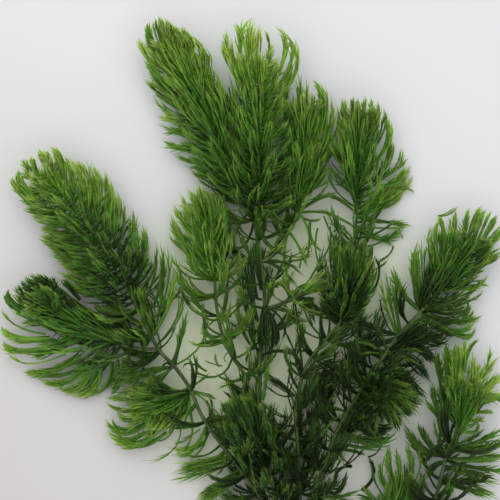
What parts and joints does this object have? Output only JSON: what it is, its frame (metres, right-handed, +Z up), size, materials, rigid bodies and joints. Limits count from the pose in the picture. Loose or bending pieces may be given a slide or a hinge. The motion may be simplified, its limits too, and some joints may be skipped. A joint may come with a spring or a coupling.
{
  "type": "hornwort",
  "caption": "Branching hornwort, a rootless aquarium plant, lying flat: dense brush-like shoot tips, stems with open whorls of forked leaves.",
  "frame": {"origin": "on the surface that the plant lies on, at the middle of its length and width", "axes": "+Z up from the surface; +Y along the plant, from the cut end of the main stem towards the shoot tips; +X to the right seen from above"},
  "size_m": [0.2008, 0.2294, 0.0296],
  "materials": {
    "stem": "smooth olive-green stem, slightly translucent and wet",
    "mature_leaf": "dark green stiff forked leaves, wet satin",
    "young_leaf": "fresh green leaves, yellower towards the tips, wet satin"
  },
  "bodies": {
    "root": {"shoot_bottom_centre": "young_leaf", "shoot_centre_left": "young_leaf", "shoot_centre_right": "young_leaf", "shoot_dark_right": "young_leaf", "shoot_left": "young_leaf", "shoot_low_left": "young_leaf", "shoot_low_right": "young_leaf", "shoot_main": "young_leaf", "shoot_right": "young_leaf", "shoot_second": "young_leaf", "shoot_short_left": "young_leaf", "shoot_side": "young_leaf", "shoot_small_right": "young_leaf", "shoot_top_centre": "young_leaf", "shoot_upper_middle": "young_leaf", "stem_centre_left": "stem", "stem_left": "stem", "stem_low_left": "stem", "stem_low_right": "stem", "stem_main": "stem", "stem_right": "stem", "stem_second": "stem", "stem_side": "stem", "stem_upper_middle": "stem", "whorl_centre_left_1": "mature_leaf", "whorl_centre_left_2": "mature_leaf", "whorl_centre_left_3": "mature_leaf", "whorl_centre_left_4": "mature_leaf", "whorl_left_1": "mature_leaf", "whorl_left_2": "mature_leaf", "whorl_left_3": "mature_leaf", "whorl_left_4": "mature_leaf", "whorl_left_5": "mature_leaf", "whorl_low_left_1": "mature_leaf", "whorl_low_right_1": "mature_leaf", "whorl_low_right_2": "mature_leaf", "whorl_low_right_3": "mature_leaf", "whorl_low_right_4": "mature_leaf", "whorl_main_1": "mature_leaf", "whorl_main_2": "mature_leaf", "whorl_main_3": "mature_leaf", "whorl_main_4": "mature_leaf", "whorl_main_5": "mature_leaf", "whorl_main_6": "mature_leaf", "whorl_main_7": "mature_leaf", "whorl_main_8": "mature_leaf", "whorl_right_1": "mature_leaf", "whorl_right_2": "mature_leaf", "whorl_right_3": "mature_leaf", "whorl_right_4": "mature_leaf", "whorl_right_5": "mature_leaf", "whorl_second_1": "mature_leaf", "whorl_second_2": "mature_leaf", "whorl_second_3": "mature_leaf", "whorl_second_4": "mature_leaf", "whorl_second_5": "mature_leaf", "whorl_second_6": "mature_leaf", "whorl_upper_middle_1": "mature_leaf"}
  },
  "joints": []
}
